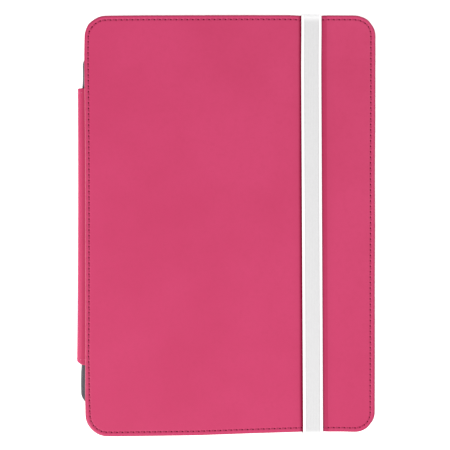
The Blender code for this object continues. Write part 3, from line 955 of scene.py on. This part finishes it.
STRIP_THICK = 0.8
SPINE_X = SPINE_LOW[0] + 0.5 * STRIP_THICK
REAR_Z = 0.5 * (REAR_FLAP_LOW[2] + REAR_FLAP_HIGH[2])
FRONT_Z = 0.5 * (FRONT_FLAP_LOW[2] + FRONT_FLAP_HIGH[2])
MIDDLE_Z = 0.5 * (REAR_Z + FRONT_Z)
FLAP_END = FRONT_FLAP_HIGH[0]
BEND = 2.2

lower, lower_normals = path_of(
    ((FLAP_END, REAR_Z), (SPINE_X, REAR_Z), (SPINE_X, MIDDLE_Z)), (BEND,))
upper, upper_normals = path_of(
    ((SPINE_X, MIDDLE_Z), (SPINE_X, FRONT_Z), (FLAP_END, FRONT_Z)), (BEND,))


STRIP_CUT = 1.7
strip_arc = arc_lengths(lower)[-1]


def strip_shift(y):
    """The strip is sewn on askew, further out at its lower end."""
    return 0.0089 * y - 6.6e-5 * y * y


def strip_trim(from_middle):
    """The strip's end is cut in a curve, shortest where it stands up as the spine."""
    wall = MIDDLE_Z - REAR_Z - BEND
    return STRIP_CUT * float(1.0 - smoothstep(wall, wall + 4.5, from_middle))


strips = []
for name, path, normals, rising in (
        ("spine_leather_lower", lower, lower_normals, True),
        ("spine_leather_upper", upper, upper_normals, False)):
    def low_of(s, rising=rising):
        return SPINE_LOW[1] + strip_trim(strip_arc - s if rising else s)

    def high_of(s, rising=rising):
        return SPINE_HIGH[1]

    strips.append(curved_strip(
        name, path, normals, low_of, high_of, lambda s: STRIP_THICK, 0.5, rising, not rising,
        lambda y, s: (strip_shift(y), 0.0)))
lower_strip, upper_strip = strips
dress(lower_strip, LEATHER_PLAIN)
dress(upper_strip, LEATHER_PLAIN)


def bend_at_creases(rear_piece, front_piece):
    """Bake each half's placement into its mesh."""
    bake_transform(rear_piece)
    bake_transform(front_piece)


bend_at_creases(lower_strip, upper_strip)
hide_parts("rear_hinge_flap", "spine_skin")
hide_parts("front_hinge_flap", "spine_skin")


def strip_stitches(name, path, normals):
    """Short stitches across the strip, near both of its ends."""
    arc = arc_lengths(path)
    ends, ups = [], []
    for y in (SPINE_LOW[1] + 2.9, SPINE_HIGH[1] - 2.2):
        reach = 1.2
        while reach + 1.3 < arc[-1]:
            spots = []
            for s in (reach, reach + 1.3):
                i = min(int(np.searchsorted(arc, s)), len(path) - 1)
                spots.append((
                    path[i].x + normals[i].x * 0.5 * STRIP_THICK + strip_shift(y), y,
                    path[i].y + normals[i].y * 0.5 * STRIP_THICK, normals[i]))
            ends.append((spots[0][:3], spots[1][:3]))
            across = (spots[0][3] + spots[1][3]).normalized()
            ups.append((across.x, 0.0, across.y))
            reach += 2.0
    points, faces, twist = stitch_mesh(ends, ups, 0.2, 0.25)
    made = mesh_object(name, points, faces)
    face_out(made)
    paint(made, "twist", twist)
    return made


rear_row = strip_stitches("spine_stitches_lower", lower, lower_normals)
front_row = strip_stitches("spine_stitches_upper", upper, upper_normals)
dress(rear_row, THREAD_HIGHLIT)
dress(front_row, THREAD_HIGHLIT)
bend_at_creases(rear_row, front_row)

LINER_THICK = 0.36
LINER_THIN = 0.15
LINER_X = LINER_LOW[0] + 0.25
LINER_REAR_Z = REAR_FLAP_HIGH[2] + 0.22
LINER_FRONT_Z = 0.5 * (TRAY_HIGH[2] + FRONT_FLAP_LOW[2])
LINER_REAR_END = TRAY_LOW[0] - 0.6
LINER_FRONT_END = FLAP_END - 1.3
LINER_BEND = 1.9
LINER_CUT = 3.6
LINER_STATIONS = (-86.4, -72.0, -64.0, -40.0, 60.0, 70.0, 83.0)
LINER_STRAY = (-0.80, -0.66, -0.15, 0.00, 0.25, 0.88, 1.03)
LINER_SINK = 0.8

liner_lower, liner_lower_normals = path_of(
    ((LINER_REAR_END, LINER_REAR_Z), (LINER_X, LINER_REAR_Z), (LINER_X, MIDDLE_Z)), (LINER_BEND,))
liner_upper, liner_upper_normals = path_of(
    ((LINER_X, MIDDLE_Z), (LINER_X, LINER_FRONT_Z), (LINER_FRONT_END, LINER_FRONT_Z)), (LINER_BEND,))


def liner_trim(from_middle, wall):
    """The liner's corners are cut at a slant, so it is shorter along its bend than at the covers."""
    return min(max(LINER_CUT - 1.4 * (from_middle - wall), 0.0), LINER_CUT)


def liner_piece(name, path, normals, rising):
    arc = arc_lengths(path)[-1]
    wall = (MIDDLE_Z - LINER_REAR_Z if rising else LINER_FRONT_Z - MIDDLE_Z) - LINER_BEND
    bend_end = wall + 0.5 * math.pi * LINER_BEND

    def from_middle(s):
        return arc - s if rising else s

    def shift(y, s):
        """Askew like the strip, a little wavy, and glued to the linings beyond the strip's ends."""
        wave = 0.06 * math.sin(y / 5.2) + 0.04 * math.sin(y / 2.3 + 1.0)
        beyond = smoothstep(68.9, 72.0, abs(y))
        beyond = beyond * smoothstep(bend_end - 0.5, bend_end + 0.9, from_middle(s))
        sink = (-1 if rising else 1) * LINER_SINK * beyond
        return float(np.interp(y, LINER_STATIONS, LINER_STRAY)) + wave, float(sink)

    def thick_of(s):
        thinned = 0.0 if rising else float(smoothstep(wall, bend_end, s))
        return LINER_THICK + (LINER_THIN - LINER_THICK) * thinned

    piece = curved_strip(
        name, path, normals, lambda s: LINER_LOW[1] + liner_trim(from_middle(s), wall),
        lambda s: LINER_HIGH[1] - liner_trim(from_middle(s), wall), thick_of, 0.16,
        rising, not rising, shift)
    dress(piece, FIBRE)
    return piece, arc


rear_liner, rear_arc = liner_piece("spine_liner_lower", liner_lower, liner_lower_normals, True)
front_liner, front_arc = liner_piece("spine_liner_upper", liner_upper, liner_upper_normals, False)
bend_at_creases(rear_liner, front_liner)
for piece, arc in ((rear_liner, rear_arc), (front_liner, front_arc)):
    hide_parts("spine_liner")
    max(arc, 10.0) * MM


# ---------------------------------------------------------------- the strap

SLOT_Z = 0.5 * (TAIL_LOW[2] + TAIL_HIGH[2])
LEG_Y = 0.5 * (LEG_LOW[1] + LEG_HIGH[1])
RUN_Z = FRONT_HIGH[2] - 0.18 + 0.5 * STRAP_THICK


def strap_lean(y, z):
    """The strap lies a little askew over the cover and runs true where it leaves its slots."""
    return float(strap_offset(y) * smoothstep(SLOT_Z, RUN_Z, z))


strap_line, strap_normals = path_of(
    ((HALF_L - 1.5, SLOT_Z), (LEG_Y, SLOT_Z), (LEG_Y - 0.1, RUN_Z), (-LEG_Y + 0.1, RUN_Z),
     (-LEG_Y, SLOT_Z), (-HALF_L + 1.5, SLOT_Z)),
    (0.6, 1.5, 1.5, 0.6), step=0.8)
strap = strap_sweep("elastic_strap", strap_line, strap_normals, strap_lean)
dress(strap, ELASTIC)
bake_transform(strap)
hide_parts("strap_front_run", "strap_leg_top", "strap_leg_bottom")
for side, label in ((1.0, "top"), (-1.0, "bottom")):
    tail_line = [Vector((side * (HALF_L - 1.6 - 0.8 * k), SLOT_Z)) for k in range(24)]
    tail_normals = [Vector((0.0, 1.0))] * 24
    tail = strap_sweep("elastic_end_" + label, tail_line, tail_normals, lambda y, z: 0.0)
    dress(tail, ELASTIC)
    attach(tail, "back")
    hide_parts("strap_tail_" + label)


# ---------------------------------------------------------------- the tray

TRAY_CORNER = 11.0
TRAY_COUNTS = (40, 60, 26)
TRAY_CENTRE = (0.5 * (TRAY_LOW[0] + TRAY_HIGH[0]), 0.0)
TRAY_WALL = 1.5
TRAY_FLOOR = 1.2
TABLET_ROOM = 7.4
WINDOW_Z = TRAY_LOW[2] + TRAY_FLOOR + 0.5 * TABLET_ROOM
NOTCH_LOW = 42.0
NOTCH_HIGH = 84.0
NOTCH_ROUND = 1.8


def prism_cutter(name, outline, low, high, along):
    """Cutter with an upright outline of (across, height), run along X or Y."""
    points = []
    for end in (low, high):
        for across, level in outline:
            points.append((end, across, level) if along == "X" else (across, end, level))
    made = mesh_object(name, points, tube(0, 2, len(outline)), smooth=False)
    face_out(made)
    return made


def stadium(centre, width, height, steps=12):
    outline = []
    for side in (1.0, -1.0):
        for step in range(steps + 1):
            angle = math.pi * (step / steps - 0.5) + (0.0 if side > 0 else math.pi)
            outline.append((centre + side * 0.5 * (width - height) + 0.5 * height * math.cos(angle),
                            WINDOW_Z + 0.5 * height * math.sin(angle)))
    return outline


def tray_shell():
    """Moulded tray: rounded outside, snap lip round the top, filleted floor."""
    low, high = TRAY_LOW[2], TRAY_HIGH[2]
    floor = low + TRAY_FLOOR
    rings = [(1.15, low)]
    for angle in quarter(6)[1:]:
        rings.append((1.1 * (1.0 - math.sin(angle)), low + 1.1 * (1.0 - math.cos(angle))))
    rings.append((0.0, high - 3.0))
    for angle in quarter(6):
        rings.append((0.75 * (1.0 - math.cos(angle)), high - 0.75 * (1.0 - math.sin(angle))))
    for angle in quarter(6):
        rings.append((1.9 + 0.4 * math.sin(angle), high - 0.4 * (1.0 - math.cos(angle))))
    rings += [(2.3, high - 0.62), (2.2, high - 0.80), (1.9, high - 1.0), (1.6, high - 1.2)]
    rings += [(TRAY_WALL, high - 1.45), (TRAY_WALL, floor + 1.0)]
    for angle in quarter(6):
        rings.append((2.4 - 0.9 * math.cos(angle), floor + 0.9 * (1.0 - math.sin(angle))))
    made = stacked(
        "moulded_tray", rings, 0.5 * (TRAY_HIGH[0] - TRAY_LOW[0]), 0.5 * (TRAY_HIGH[1] - TRAY_LOW[1]),
        TRAY_CORNER, TRAY_CENTRE, TRAY_COUNTS, 50.0)
    end = TRAY_HIGH[1]
    sill = WINDOW_Z - 1.0
    notch = [(NOTCH_LOW, high + 1.0), (NOTCH_LOW, sill)]
    for angle in np.linspace(0.2, 1.57, 7):
        notch.append((NOTCH_LOW + NOTCH_ROUND * (1.0 - math.cos(angle)),
                      sill - NOTCH_ROUND * math.sin(angle)))
    for angle in np.linspace(0.0, 1.37, 7):
        notch.append((NOTCH_HIGH - NOTCH_ROUND * (1.0 - math.sin(angle)),
                      sill - NOTCH_ROUND * math.cos(angle)))
    notch += [(NOTCH_HIGH, sill), (NOTCH_HIGH, high + 1.0)]
    cut_away(made, [
        turned_cutter("tray_camera_cutter", CAMERA_X, CAMERA_Y,
                      ((CAMERA_RADIUS, low - 1.0), (CAMERA_RADIUS, low + 1.0),
                       (CAMERA_RADIUS + 0.25, low + 1.3), (CAMERA_RADIUS + 0.6, low + 2.0)), 96),
        prism_cutter("port_cutter", stadium(TRAY_CENTRE[0], 32.0, 5.6), -end - 1.0, -end + 3.0, "Y"),
        prism_cutter("jack_cutter", stadium(-44.1, 12.0, 5.6), end - 3.0, end + 1.0, "Y"),
        prism_cutter("button_cutter", notch, TRAY_HIGH[0] - 3.0, TRAY_HIGH[0] + 1.0, "X"),
    ])
    made.data.set_sharp_from_angle(angle=math.radians(50.0))
    return made


tray = tray_shell()
dress(tray, moulded("moulded_polycarbonate"))
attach(tray, "back")
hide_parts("tray")


# ---------------------------------------------------------------- hard pieces that stay as they are

for node, shade in (
        ("tray_adhesive_pad", foam("foam_tape")),
        ("front_cover_board", greyboard("pressed_board_front")),
        ("back_cover_board", greyboard("pressed_board_back")),
        ("spine_board", greyboard("pressed_board_spine"))):
    dress(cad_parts[node], shade)
PLATED = plated("nickel_plate")
for index in range(1, 5):
    dress(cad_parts["cover_magnet_%d" % index], PLATED)


# ---------------------------------------------------------------- studio

FLOOR = 40000.0
FLOOR_Z = -0.35


def studio():
    corners = [(x * FLOOR, y * FLOOR, FLOOR_Z) for x, y in ((-1, -1), (1, -1), (1, 1), (-1, 1))]
    floor = mesh_object("studio_floor", corners, [(0, 1, 2, 3)], smooth=False)
    shade = Shade("white_floor", 0.9, 0.1)
    tone = shade.noise(3.0, 2.0)
    shade.colour(shade.mix(tone, (0.93, 0.93, 0.93), (0.95, 0.95, 0.95)))
    shade.main.inputs["Emission Color"].default_value = (1.0, 1.0, 1.0, 1.0)
    shade.main.inputs["Emission Strength"].default_value = 0.45
    floor.data.materials.append(shade.made)

    world = bpy.data.worlds.new("studio_world")
    world.use_nodes = True
    world.node_tree.nodes["Background"].inputs["Color"].default_value = (1.0, 1.0, 1.0, 1.0)
    world.node_tree.nodes["Background"].inputs["Strength"].default_value = 0.55
    bpy.context.scene.world = world

    def area(name, place, aim, width, height, watts):
        light = bpy.data.lights.new(name, "AREA")
        light.shape = "RECTANGLE"
        light.size = width
        light.size_y = height
        light.energy = watts
        made = bpy.data.objects.new(name, light)
        bpy.context.scene.collection.objects.link(made)
        made.location = place
        toward = Vector(aim) - Vector(place)
        made.rotation_euler = toward.to_track_quat("-Z", "Y").to_euler()
        return made

    area("key_softbox", (-0.75, -0.80, 0.75), (0.0, 0.0, 0.0), 0.9, 0.9, 19.0)
    area("fill_softbox", (0.8, 0.3, 0.9), (0.0, 0.0, 0.0), 0.9, 0.9, 6.0)

    scene = bpy.context.scene
    scene.view_settings.view_transform = "Standard"
    scene.view_settings.look = "None"
    lens = bpy.data.cameras.new("camera")
    lens.sensor_width = 36.0
    lens.lens = 98.18
    lens.clip_start = 0.01
    camera = bpy.data.objects.new("camera", lens)
    scene.collection.objects.link(camera)
    turn = Matrix.Rotation(-0.00245, 4, "Z") @ Matrix.Rotation(-0.05634, 4, "Y")
    turn = turn @ Matrix.Rotation(-0.03043, 4, "X")
    camera.matrix_world = Matrix.Translation((-0.03504, 0.01883, 0.620)) @ turn
    scene.camera = camera


studio()
